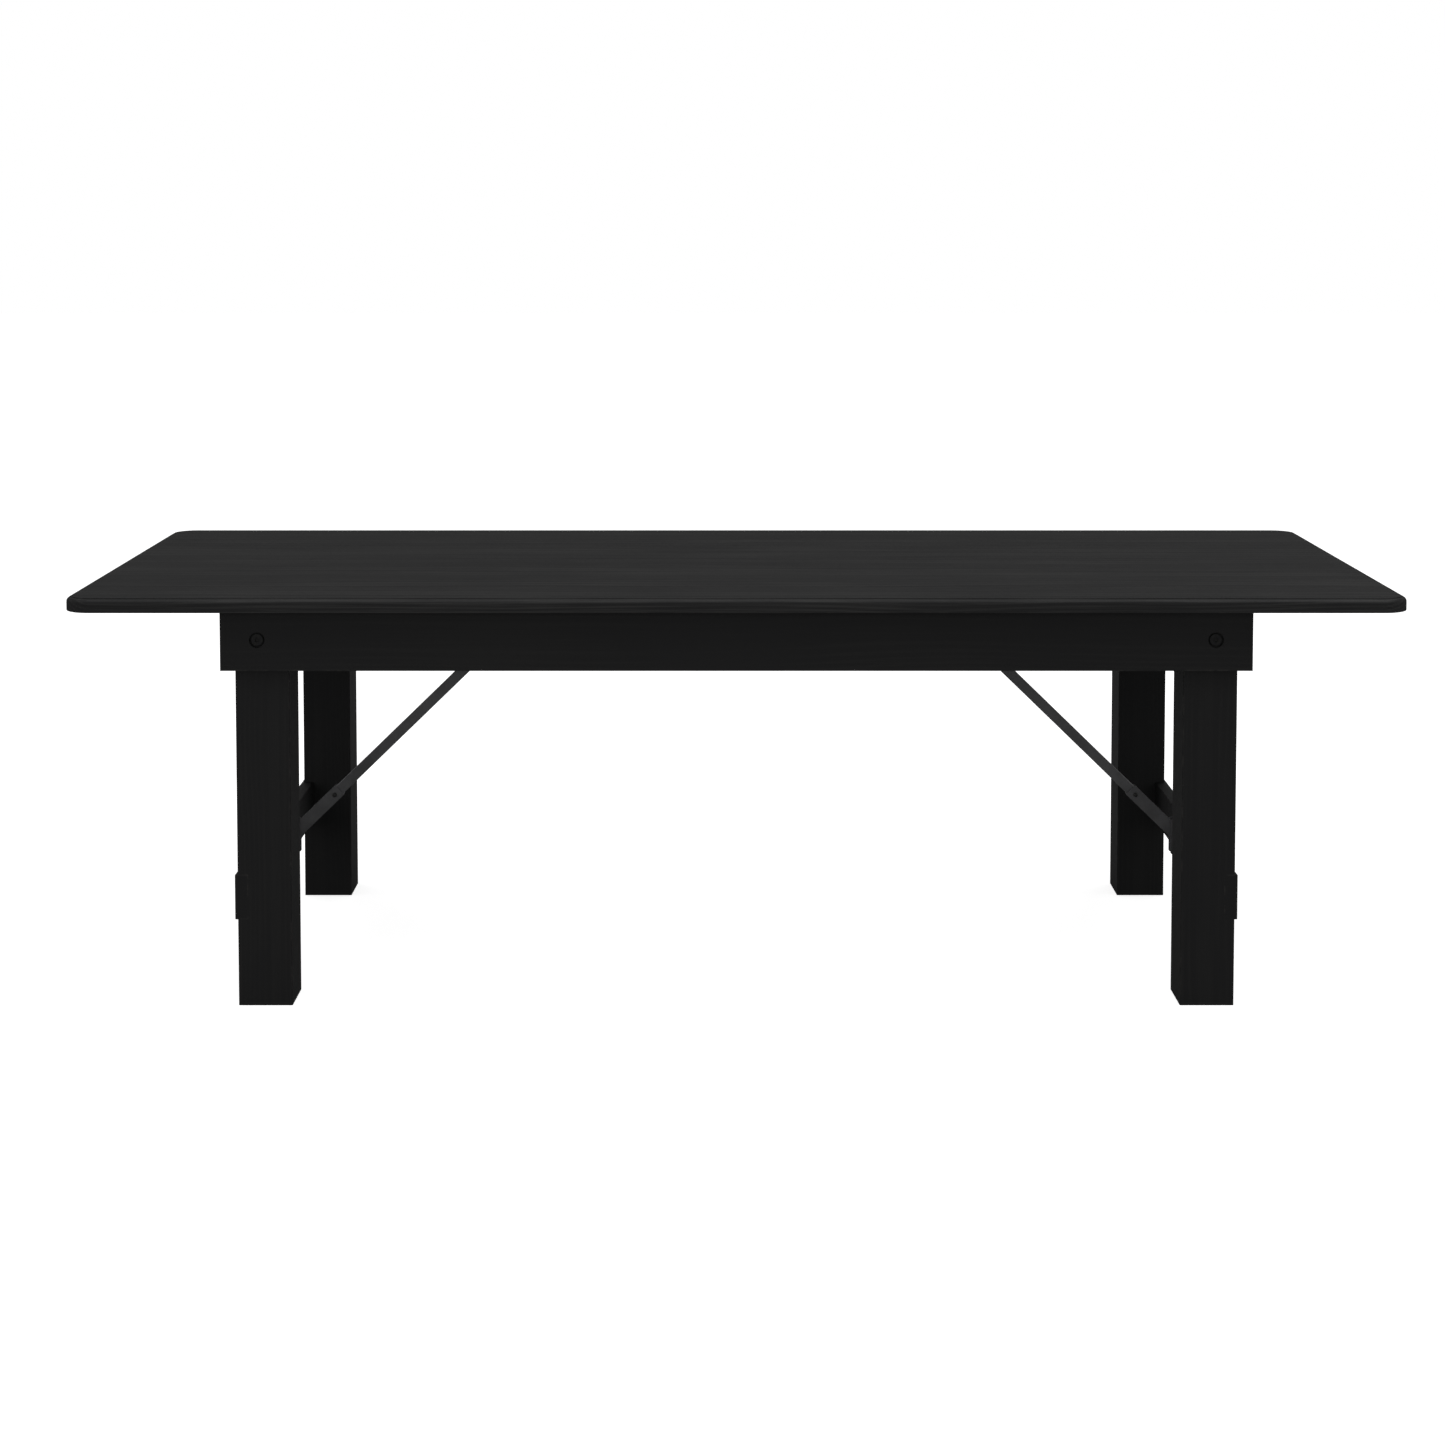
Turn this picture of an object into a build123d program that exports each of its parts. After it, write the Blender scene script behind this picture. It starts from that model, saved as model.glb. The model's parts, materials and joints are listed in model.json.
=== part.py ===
from build123d import *
from math import cos, hypot, radians, sin, tan
import os

# Folding farm-style table, millimetres. The origin is on the floor under the middle of the top.
# X runs along the table, Y across it and Z up; the right-hand side is +X and the front is -Y.

# Top
top_length = 2438.4
top_width = 1016.0
table_height = 765.0
top_thickness = 26.0
corner_radius = 51.0
top_edge_radius = 9.0
bottom_edge_radius = 1.2
front_board_share = 155.0 / 1016.0
inner_board_share = 98.5 / 1016.0
inner_board_count = 7

# Side aprons
apron_setback = 43.2
apron_thickness = 20.0
apron_height = 112.6
apron_overrun = 23.5
apron_edge_radius = 1.5
apron_screw_count = 7
apron_screw_margin = 130.0
apron_screw_length = 60.0
apron_screw_cover = 11.0
apron_screw_well_radius = 5.0

# Legs
leg_width = 99.2
leg_depth = 103.0
leg_end_setback = 301.9
leg_edge_radius = 2.0
spacer_thickness = 2.0
side_gap = 0.3

# Leg pivots
pivot_outer_inset = 44.3
fold_clearance = 1.1
bolt_radius = 6.0
running_clearance = 0.05
bolt_head_radius = 11.5
bolt_head_height = 5.5
bolt_socket_width = 8.0
bolt_socket_depth = 3.5
bolt_end_length = 3.0
bolt_crown_radius = 1.5
leg_bore_clearance = 1.0
counterbore_radius = 14.2
counterbore_depth = 7.0
bush_wall = 3.0
bush_length = 24.0
washer_radius = 12.0
washer_thickness = 2.5
nut_width = 19.0
nut_height = 10.0

# Cross rail of each leg pair
rail_bottom = 161.0
rail_height = 83.5
rail_thickness = 24.4
rail_proud = 4.9
rail_edge_radius = 1.5
rail_screw_length = 60.0
rail_screw_edge = 22.0
rail_screw_spread = 46.0

# Battens under the top
batten_width = 60.0
batten_height = 24.0
batten_edge_radius = 4.0
middle_batten_x = 110.0
end_batten_setback = 99.0
end_batten_length = 700.0
batten_screw_length = 40.0
batten_screw_margin = 40.0
batten_screw_stagger = 12.0
middle_batten_screws = 9
end_batten_screws = 7

# Wood screws
screw_radius = 2.25
screw_head_radius = 4.4
screw_head_depth = 2.4
screw_tip_length = 5.0
screw_socket_radius = 1.7
screw_socket_depth = 1.6
screw_clearance = 0.05

# Brace: a bar hinged under the top, and a channel link hinged on the cross rail
brace_angle = 44.17
link_end_gap = 0.5
bar_top_gap = 4.5
pin_radius = 4.0
pin_head_radius = 6.5
pin_head_height = 2.5
bar_width = 20.0
bar_depth = 16.0
bar_wall = 1.5
bar_tip_gap = 60.0
bar_eye_length = 14.0
bar_side_play = 0.4
link_wall = 1.6
bar_web_gap = 0.9
link_latch_distance = 113.4
link_overrun = 15.0
link_corner_radius = 3.0

# Brackets
bracket_thickness = 2.5
bracket_side_play = 0.5
bracket_corner_radius = 4.0
rail_bracket_rise = 15.0
rail_bracket_height = 70.0
rail_bracket_pin_rise = 40.4
rail_ear_margin = 10.8
bracket_screw_length = 20.0
bracket_screw_edge = 9.0
top_bracket_length = 84.0
top_bracket_width = 50.0
top_bracket_ear_length = 26.0
top_ear_margin = 11.0
top_bracket_screw_x = 30.0
top_bracket_screw_y = 16.0
top_bracket_screw_length = 18.0

# Snap button in the bar
button_radius = 4.3
button_hole_clearance = 0.1
latch_hole_radius = 5.0
button_proud = 1.0
button_flange_radius = 6.2
button_flange_height = 2.0
button_flange_gap = 0.1
button_dome_radius = 1.2
spring_radius = 4.4
spring_wire_radius = 0.45
spring_turns = 4
spring_end_gap = 0.1

# Levels and places that follow from the sizes above
underside = table_height - top_thickness
apron_face_y = top_width / 2 - apron_setback
apron_inner_y = apron_face_y - apron_thickness
leg_outer_x = top_length / 2 - leg_end_setback
leg_inner_x = leg_outer_x - leg_width
leg_face_y = apron_inner_y - spacer_thickness - 2 * side_gap
leg_back_y = leg_face_y - leg_depth
apron_end_x = leg_outer_x + apron_overrun
pivot_x = leg_outer_x - pivot_outer_inset
leg_cap_outer = pivot_outer_inset
leg_cap_inner = leg_width - pivot_outer_inset
pivot_z = underside - leg_cap_inner - fold_clearance
rail_outer_x = leg_outer_x + rail_proud
rail_inner_x = rail_outer_x - rail_thickness
rail_top = rail_bottom + rail_height
rail_bracket_bottom = rail_bottom + rail_bracket_rise
link_width = bar_width + 2 * (link_wall + bar_web_gap)
link_pin_x = rail_inner_x - bracket_thickness - link_end_gap - link_width / 2
link_pin_height = rail_bracket_bottom + rail_bracket_pin_rise
rail_bracket_edge_x = link_pin_x - rail_ear_margin
top_pin_z = underside - bracket_thickness - bar_top_gap - bar_width / 2
top_bracket_bottom = top_pin_z - top_ear_margin
top_pin_x = link_pin_x - (top_pin_z - link_pin_height) / tan(radians(brace_angle))
pin_distance = hypot(link_pin_x - top_pin_x, top_pin_z - link_pin_height)
link_depth = bar_depth + 2 * (bar_side_play + link_wall)
rail_bracket_gap = link_depth + 2 * bracket_side_play
top_bracket_gap = bar_depth + 2 * bracket_side_play
bush_radius = bolt_radius + running_clearance + bush_wall
end_batten_x = top_length / 2 - end_batten_setback

nodes = {}


def block(x_range, y_range, z_range):
    """A box given by its lowest and highest coordinate along each axis."""
    size = [high - low for low, high in (x_range, y_range, z_range)]
    middle = [(high + low) / 2 for low, high in (x_range, y_range, z_range)]
    return Pos(*middle) * Box(*size)


def rod(radius, start, direction, length):
    """A round bar from a point, along a direction."""
    return Solid.make_cylinder(radius, length, Plane(origin=start, z_dir=direction))


def tube(outer_radius, inner_radius, start, direction, length):
    """A rod with a round hole through it."""
    return rod(outer_radius, start, direction, length) - rod(inner_radius, start, direction, length)


def hex_prism(width, start, direction, length):
    """A hexagonal bar, its width measured across the flats."""
    outline = Plane(origin=start, z_dir=direction) * RegularPolygon(width / 2, 6, major_radius=False)
    return extrude(outline, length, dir=direction)


def screw_blank(start, direction, length, clearance=0.0):
    """The outside of a countersunk screw, head first; a clearance makes the hole for one."""
    shank = screw_radius + clearance
    head = screw_head_radius + clearance
    reach = length + clearance
    outline = [(0, 0), (head, 0), (shank, screw_head_depth), (shank, reach - screw_tip_length), (0, reach)]
    profile = Plane.XZ * make_face(Polyline(*outline, close=True))
    return Plane(origin=start, z_dir=direction).location * revolve(profile, Axis.Z)


def screw(start, direction, length):
    """A countersunk wood screw with a hexagonal socket in its head."""
    socket = hex_prism(2 * screw_socket_radius, start, direction, screw_socket_depth)
    return screw_blank(start, direction, length) - socket


def spread(low, high, count):
    """Evenly spaced places from low to high."""
    return [low + (high - low) * i / (count - 1) for i in range(count)]


def fillet_along(part, axis, radius):
    """Rounds every edge that runs along an axis."""
    return fillet(part.edges().filter_by(axis), radius)


def group(parts):
    """Several separate solids kept together as one node."""
    return Compound(children=list(parts))


def without(part, cutters):
    """A part with every cutter taken out of it."""
    for cutter in cutters:
        part = part - cutter
    return part


def add_pair(name, right_part):
    """Writes a right-hand part and its mirror image on the left."""
    nodes[name + "_right"] = right_part
    nodes[name + "_left"] = mirror(right_part, about=Plane.YZ)


# Places of the screws: start point, direction and length
def apron_screws(side):
    y = side * (apron_face_y - apron_thickness / 2)
    start_z = table_height - apron_screw_cover - apron_screw_length
    last_x = apron_end_x - apron_screw_margin
    places = spread(-last_x, last_x, apron_screw_count)
    return [((x, y, start_z), (0, 0, 1), apron_screw_length) for x in places]


def batten_screws(x, half_length, count):
    start_z = underside - batten_height
    last_y = half_length - batten_screw_margin
    return [
        ((x + batten_screw_stagger * (-1) ** i, y, start_z), (0, 0, 1), batten_screw_length)
        for i, y in enumerate(spread(-last_y, last_y, count))
    ]


def rail_screws():
    leg_middle_y = leg_face_y - leg_depth / 2
    low = (leg_middle_y - rail_screw_spread / 2, rail_bottom + rail_screw_edge)
    high = (leg_middle_y + rail_screw_spread / 2, rail_top - rail_screw_edge)
    return [
        ((rail_outer_x, side * y, z), (-1, 0, 0), rail_screw_length)
        for side in (-1, 1)
        for y, z in (low, high)
    ]


def rail_bracket_screws():
    start_x = rail_inner_x - bracket_thickness
    low = rail_bracket_bottom + bracket_screw_edge
    high = rail_bracket_bottom + rail_bracket_height - bracket_screw_edge
    return [((start_x, 0, z), (1, 0, 0), bracket_screw_length) for z in (low, high)]


def top_bracket_screws(pin_x):
    start_z = underside - bracket_thickness
    return [
        ((pin_x + dx, dy, start_z), (0, 0, 1), top_bracket_screw_length)
        for dx in (-top_bracket_screw_x, top_bracket_screw_x)
        for dy in (-top_bracket_screw_y, top_bracket_screw_y)
    ]


def pockets(places):
    return [screw_blank(*place, clearance=screw_clearance) for place in places]


def screws(places):
    return group(screw(*place) for place in places)


# Top boards
battens = {
    "middle_batten_right": (middle_batten_x, apron_inner_y, middle_batten_screws),
    "middle_batten_left": (-middle_batten_x, apron_inner_y, middle_batten_screws),
    "end_batten_right": (end_batten_x, end_batten_length / 2, end_batten_screws),
    "end_batten_left": (-end_batten_x, end_batten_length / 2, end_batten_screws),
}
all_apron_screws = apron_screws(-1) + apron_screws(1)
all_batten_screws = [place for batten in battens.values() for place in batten_screws(*batten)]
all_top_bracket_screws = top_bracket_screws(top_pin_x) + top_bracket_screws(-top_pin_x)
all_top_screws = all_apron_screws + all_batten_screws + all_top_bracket_screws


def make_slab():
    outline = RectangleRounded(top_length, top_width, corner_radius)
    slab = Pos(0, 0, underside) * extrude(outline, top_thickness)
    slab = fillet(slab.faces().sort_by(Axis.Z)[-1].edges(), top_edge_radius)
    return fillet(slab.faces().sort_by(Axis.Z)[0].edges(), bottom_edge_radius)


def make_boards():
    slab = make_slab()
    first_seam = front_board_share - 0.5
    seams = [top_width * (first_seam + inner_board_share * i) for i in range(inner_board_count + 1)]
    limits = [-top_width / 2] + seams + [top_width / 2]
    for number, (low, high) in enumerate(zip(limits, limits[1:]), start=1):
        board = slab & block((-top_length, top_length), (low, high), (0, 2 * table_height))
        near = [place for place in all_top_screws if low - screw_radius < place[0][1] < high + screw_radius]
        nodes[f"top_board_{number}"] = without(board, pockets(near))


make_boards()


# Aprons, battens and their screws
def make_apron(side):
    y_range = sorted((side * apron_inner_y, side * apron_face_y))
    apron = block((-apron_end_x, apron_end_x), y_range, (underside - apron_height, underside))
    apron = fillet_along(apron, Axis.Z, apron_edge_radius)
    bolts = []
    for x in (-pivot_x, pivot_x):
        bolts.append(rod(bolt_radius + running_clearance, (x, 0, pivot_z), (0, side, 0), top_width))
        head_floor = side * (apron_face_y - counterbore_depth)
        bolts.append(rod(counterbore_radius, (x, head_floor, pivot_z), (0, side, 0), top_width))
    wells = [
        rod(apron_screw_well_radius, (x, y, 0), (0, 0, 1), z)
        for (x, y, z), _, _ in apron_screws(side)
    ]
    return without(apron, bolts + wells + pockets(apron_screws(side)))


def make_batten(x, half_length, screw_count):
    x_range = (x - batten_width / 2, x + batten_width / 2)
    batten = block(x_range, (-half_length, half_length), (underside - batten_height, underside))
    lower_edges = batten.faces().sort_by(Axis.Z)[0].edges().filter_by(Axis.Y)
    batten = fillet(lower_edges, batten_edge_radius)
    return without(batten, pockets(batten_screws(x, half_length, screw_count)))


nodes["front_apron"] = make_apron(-1)
nodes["rear_apron"] = make_apron(1)
nodes["apron_screws"] = screws(all_apron_screws)
for batten_name, batten_size in battens.items():
    nodes[batten_name] = make_batten(*batten_size)
nodes["batten_screws"] = screws(all_batten_screws)


# Legs, each rounded about its pivot so that it clears the top as it folds
def flat_block(x_range, z_range):
    """A rectangle in the outline of a leg."""
    middle = Pos(sum(x_range) / 2, sum(z_range) / 2)
    return middle * Rectangle(x_range[1] - x_range[0], z_range[1] - z_range[0])


def leg_outline():
    pivot = Pos(pivot_x, pivot_z)
    cap_levels = (pivot_z, pivot_z + leg_cap_outer)
    shank = flat_block((leg_inner_x, leg_outer_x), (0, pivot_z))
    outer_cap = pivot * Circle(leg_cap_outer) & flat_block((pivot_x, leg_outer_x), cap_levels)
    inner_cap = pivot * Circle(leg_cap_inner) & flat_block((leg_inner_x, pivot_x), cap_levels)
    return shank + outer_cap + inner_cap


def make_leg(side):
    sketch = Plane.XZ * leg_outline()
    leg = Pos(0, side * leg_face_y, 0) * extrude(sketch, side * leg_depth)
    long_edges = [edge for edge in leg.edges().filter_by(Axis.Z) if edge.length > pivot_z / 2]
    leg = fillet(long_edges, leg_edge_radius)
    housing = block((rail_inner_x, rail_outer_x), (-top_width, top_width), (rail_bottom, rail_top))
    through = rod(bolt_radius + leg_bore_clearance, (pivot_x, 0, pivot_z), (0, side, 0), top_width)
    seats = [
        rod(bush_radius, (pivot_x, side * leg_back_y, pivot_z), (0, side, 0), bush_length),
        rod(bush_radius, (pivot_x, side * leg_face_y, pivot_z), (0, -side, 0), bush_length),
    ]
    near = [place for place in rail_screws() if place[0][1] * side > 0]
    return without(leg, [housing, through] + seats + pockets(near))


def make_bushes():
    bore = bolt_radius + running_clearance
    return group(
        tube(bush_radius, bore, (pivot_x, side * y, pivot_z), (0, side * way, 0), bush_length)
        for side in (-1, 1)
        for y, way in ((leg_back_y, 1), (leg_face_y, -1))
    )


def make_rail():
    rail = block((rail_inner_x, rail_outer_x), (-leg_face_y, leg_face_y), (rail_bottom, rail_top))
    rail = fillet_along(rail, Axis.Y, rail_edge_radius)
    return without(rail, pockets(rail_screws() + rail_bracket_screws()))


add_pair("leg_front", make_leg(-1))
add_pair("leg_rear", make_leg(1))
add_pair("leg_bushes", make_bushes())
add_pair("leg_rail", make_rail())
add_pair("rail_screws", screws(rail_screws()))

# Pivot hardware, which stays with the aprons
pivots = [(x, side) for x in (-pivot_x, pivot_x) for side in (-1, 1)]
nut_outer_y = leg_back_y - side_gap - washer_thickness


def make_bolt(x, side):
    seat_y = apron_face_y - counterbore_depth
    end_y = nut_outer_y - nut_height - bolt_end_length
    shank = rod(bolt_radius, (x, side * end_y, pivot_z), (0, side, 0), seat_y - end_y)
    head = rod(bolt_head_radius, (x, side * seat_y, pivot_z), (0, side, 0), bolt_head_height)
    head_rims = head.edges().filter_by(GeomType.CIRCLE).sort_by(Axis.Y)
    head = fillet(head_rims[-1] if side > 0 else head_rims[0], bolt_crown_radius)
    crown_y = side * (seat_y + bolt_head_height)
    socket = hex_prism(bolt_socket_width, (x, crown_y, pivot_z), (0, -side, 0), bolt_socket_depth)
    return shank + head - socket


def make_spacer(x, side):
    start = (x, side * (apron_inner_y - side_gap), pivot_z)
    return tube(washer_radius, bolt_radius + running_clearance, start, (0, -side, 0), spacer_thickness)


def make_washer(x, side):
    start = (x, side * (leg_back_y - side_gap), pivot_z)
    return tube(washer_radius, bolt_radius + running_clearance, start, (0, -side, 0), washer_thickness)


def make_nut(x, side):
    start = (x, side * nut_outer_y, pivot_z)
    nut = hex_prism(nut_width, start, (0, -side, 0), nut_height)
    return nut - rod(bolt_radius, start, (0, -side, 0), nut_height)


nodes["pivot_bolts"] = group(make_bolt(*pivot) for pivot in pivots)
nodes["pivot_spacers"] = group(make_spacer(*pivot) for pivot in pivots)
nodes["pivot_washers"] = group(make_washer(*pivot) for pivot in pivots)
nodes["pivot_nuts"] = group(make_nut(*pivot) for pivot in pivots)


# Brackets and their pins
def make_rail_bracket():
    half_gap = rail_bracket_gap / 2
    half_width = half_gap + bracket_thickness
    z_range = (rail_bracket_bottom, rail_bracket_bottom + rail_bracket_height)
    x_range = (rail_bracket_edge_x, rail_inner_x)
    bracket = block(x_range, (-half_width, half_width), z_range)
    free_edges = bracket.faces().sort_by(Axis.X)[0].edges().filter_by(Axis.Y)
    bracket = fillet(free_edges, bracket_corner_radius)
    slot_range = (x_range[0] - bracket_thickness, rail_inner_x - bracket_thickness)
    slot = block(slot_range, (-half_gap, half_gap), (0, table_height))
    pin_hole = rod(pin_radius, (link_pin_x, -half_width, link_pin_height), (0, 1, 0), 2 * half_width)
    return without(bracket, [slot, pin_hole] + pockets(rail_bracket_screws()))


def make_top_bracket():
    half_gap = top_bracket_gap / 2
    half_width = half_gap + bracket_thickness
    plate_bottom = underside - bracket_thickness
    plate_x = (top_pin_x - top_bracket_length / 2, top_pin_x + top_bracket_length / 2)
    plate_y = (-top_bracket_width / 2, top_bracket_width / 2)
    plate = fillet_along(block(plate_x, plate_y, (plate_bottom, underside)), Axis.Z, bracket_corner_radius)
    ear_x = (top_pin_x - top_bracket_ear_length / 2, top_pin_x + top_bracket_ear_length / 2)
    ears = block(ear_x, (-half_width, half_width), (top_bracket_bottom, plate_bottom))
    ears = fillet(ears.faces().sort_by(Axis.Z)[0].edges().filter_by(Axis.Y), 2 * bracket_corner_radius)
    ears = ears - block(plate_x, (-half_gap, half_gap), (0, plate_bottom))
    pin_hole = rod(pin_radius, (top_pin_x, -half_width, top_pin_z), (0, 1, 0), 2 * half_width)
    return without(plate + ears, [pin_hole] + pockets(top_bracket_screws(top_pin_x)))


def make_pin(x, z, gap):
    half_width = gap / 2 + bracket_thickness
    pin = rod(pin_radius, (x, -half_width, z), (0, 1, 0), 2 * half_width)
    for side in (-1, 1):
        head = rod(pin_head_radius, (x, side * half_width, z), (0, side, 0), pin_head_height)
        outer_edge = head.edges().filter_by(GeomType.CIRCLE).sort_by(Axis.Y)[-1 if side > 0 else 0]
        pin = pin + fillet(outer_edge, pin_head_height / 2)
    return pin


add_pair("rail_bracket", make_rail_bracket())
add_pair("rail_bracket_screws", screws(rail_bracket_screws()))
add_pair("link_pin", make_pin(link_pin_x, link_pin_height, rail_bracket_gap))
add_pair("top_bracket", make_top_bracket())
add_pair("top_bracket_screws", screws(top_bracket_screws(top_pin_x)))
add_pair("top_pin", make_pin(top_pin_x, top_pin_z, top_bracket_gap))

# The brace's own frame: x from the link pin up to the top pin, y to the front, z to the open side
slope = radians(brace_angle)
brace_frame = Plane(
    origin=(link_pin_x, 0, link_pin_height),
    x_dir=(-cos(slope), 0, sin(slope)),
    z_dir=(sin(slope), 0, cos(slope)),
).location


def cross_hole(radius, along, start_y, length):
    """A round hole across the brace, towards its front, in the brace's own frame."""
    return rod(radius, (along, start_y, 0), (0, 1, 0), length)


def make_bar():
    half_width = bar_width / 2
    body = block((bar_tip_gap, pin_distance), (-bar_depth / 2, bar_depth / 2), (-half_width, half_width))
    bar = body + cross_hole(half_width, pin_distance, -bar_depth / 2, bar_depth)
    inside_y = bar_depth / 2 - bar_wall
    inside_z = half_width - bar_wall
    hollow = block((0, pin_distance - bar_eye_length), (-inside_y, inside_y), (-inside_z, inside_z))
    pin_hole = cross_hole(pin_radius + running_clearance, pin_distance, -bar_depth, 2 * bar_depth)
    button_hole = cross_hole(button_radius + button_hole_clearance, link_latch_distance, 0, bar_depth)
    return brace_frame * without(bar, [hollow, pin_hole, button_hole])


def make_link():
    half_width = link_width / 2
    half_depth = link_depth / 2
    tail = link_latch_distance + link_overrun
    plate = block((0, tail), (-half_depth, half_depth), (-half_width, half_width))
    plate = fillet(plate.faces().sort_by(Axis.X)[-1].edges().filter_by(Axis.Y), link_corner_radius)
    link = plate + cross_hole(half_width, 0, -half_depth, link_depth)
    inside = half_depth - link_wall
    channel = block((-link_width, 2 * tail), (-inside, inside), (link_wall - half_width, link_width))
    pin_hole = cross_hole(pin_radius + running_clearance, 0, -link_depth, 2 * link_depth)
    latch_hole = cross_hole(latch_hole_radius, link_latch_distance, 0, link_depth)
    return brace_frame * without(link, [channel, pin_hole, latch_hole])


def make_button():
    face_y = link_depth / 2 + button_proud
    flange_y = bar_depth / 2 - bar_wall - button_flange_gap - button_flange_height
    stem = cross_hole(button_radius, link_latch_distance, flange_y, face_y - flange_y)
    stem = fillet(stem.edges().filter_by(GeomType.CIRCLE).sort_by(Axis.Y)[-1], button_dome_radius)
    flange = cross_hole(button_flange_radius, link_latch_distance, flange_y, button_flange_height)
    return brace_frame * (stem + flange)


def make_spring():
    start_y = spring_wire_radius + spring_end_gap - bar_depth / 2 + bar_wall
    end_y = bar_depth / 2 - bar_wall - button_flange_gap - button_flange_height
    height = end_y - spring_end_gap - spring_wire_radius - start_y
    pitch = height / spring_turns
    path = Helix(pitch, height, spring_radius)
    wire = sweep(Plane(origin=path @ 0, z_dir=path % 0) * Circle(spring_wire_radius), path=path)
    place = Plane(origin=(link_latch_distance, start_y, 0), z_dir=(0, 1, 0)).location
    return brace_frame * (place * wire)


add_pair("brace_bar", make_bar())
add_pair("brace_link", make_link())
add_pair("snap_button", make_button())
add_pair("button_spring", make_spring())

# Writes one file for each node, with the values that the joints use
os.makedirs("parts", exist_ok=True)
for node_name, shape in nodes.items():
    export_step(shape, f"parts/{node_name}.step")
print(f"{len(nodes)} nodes")
print(f"leg pivots at x {pivot_x:.2f}, z {pivot_z:.2f}")
print(f"link pins at x {link_pin_x:.2f}, z {link_pin_height:.2f}")
print(f"top pins at x {top_pin_x:.2f}, z {top_pin_z:.2f}")
latch_x = link_pin_x - link_latch_distance * cos(slope)
latch_z = link_pin_height + link_latch_distance * sin(slope)
print(f"latches at x {latch_x:.2f}, z {latch_z:.2f}")
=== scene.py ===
import bmesh
import bpy
import json
import math
from mathutils import Matrix, Vector


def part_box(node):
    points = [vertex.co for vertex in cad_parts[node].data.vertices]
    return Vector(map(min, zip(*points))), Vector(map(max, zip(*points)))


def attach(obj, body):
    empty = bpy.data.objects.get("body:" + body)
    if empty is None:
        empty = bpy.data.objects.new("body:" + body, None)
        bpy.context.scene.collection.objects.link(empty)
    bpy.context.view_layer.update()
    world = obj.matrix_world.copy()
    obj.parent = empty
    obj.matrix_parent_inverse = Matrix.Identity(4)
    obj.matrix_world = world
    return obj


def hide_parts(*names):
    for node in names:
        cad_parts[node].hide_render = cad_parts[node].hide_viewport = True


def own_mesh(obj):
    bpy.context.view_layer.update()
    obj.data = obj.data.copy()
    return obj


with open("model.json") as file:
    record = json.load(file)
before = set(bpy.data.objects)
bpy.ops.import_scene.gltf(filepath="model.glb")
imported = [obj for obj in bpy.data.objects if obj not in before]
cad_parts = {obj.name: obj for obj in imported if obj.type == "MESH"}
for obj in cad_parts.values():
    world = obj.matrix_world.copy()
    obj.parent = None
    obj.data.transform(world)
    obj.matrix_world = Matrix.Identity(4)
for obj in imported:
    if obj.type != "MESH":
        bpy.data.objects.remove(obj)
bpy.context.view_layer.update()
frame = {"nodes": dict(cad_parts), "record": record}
nodes = frame["nodes"]
bodyOf = {name: body for body, members in frame["record"]["behaviour"]["bodies"].items() for name in members}
closeBy = 1e-4  # metres within which two levels count as the same
weldGap = 2e-6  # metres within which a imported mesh's loose corners are joined
print("frame loaded,", len(nodes), "nodes")


# a value in a node tree: arithmetic on it adds Math nodes
class Value:
    def __init__(self, finish, socket):
        self.finish = finish
        self.socket = socket

    def maths(self, operation, *others):
        inputs = dict(enumerate((self,) + others))
        return self.finish.node("ShaderNodeMath", {"operation": operation}, inputs)

    def __add__(self, other):
        return self.maths("ADD", other)

    def __radd__(self, other):
        return self.maths("ADD", other)

    def __sub__(self, other):
        return self.maths("SUBTRACT", other)

    def __rsub__(self, other):
        return self.finish.node("ShaderNodeMath", {"operation": "SUBTRACT"}, {0: other, 1: self})

    def __mul__(self, other):
        return self.maths("MULTIPLY", other)

    def __rmul__(self, other):
        return self.maths("MULTIPLY", other)

    def __pow__(self, other):
        return self.maths("POWER", other)

    def __abs__(self):
        return self.maths("ABSOLUTE")

    def least(self, other):
        return self.maths("MINIMUM", other)

    def most(self, other):
        return self.maths("MAXIMUM", other)

    def sway(self, reach):  # a noise made to move both ways about zero
        return (self - 0.5) * reach

    def ramp(self, low, high, toLow=0.0, toHigh=1.0):  # from one level to another, easing in and out
        settings = {"interpolation_type": "SMOOTHSTEP"}
        inputs = {"Value": self, "From Min": low, "From Max": high, "To Min": toLow, "To Max": toHigh}
        return self.finish.node("ShaderNodeMapRange", settings, inputs)


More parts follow.
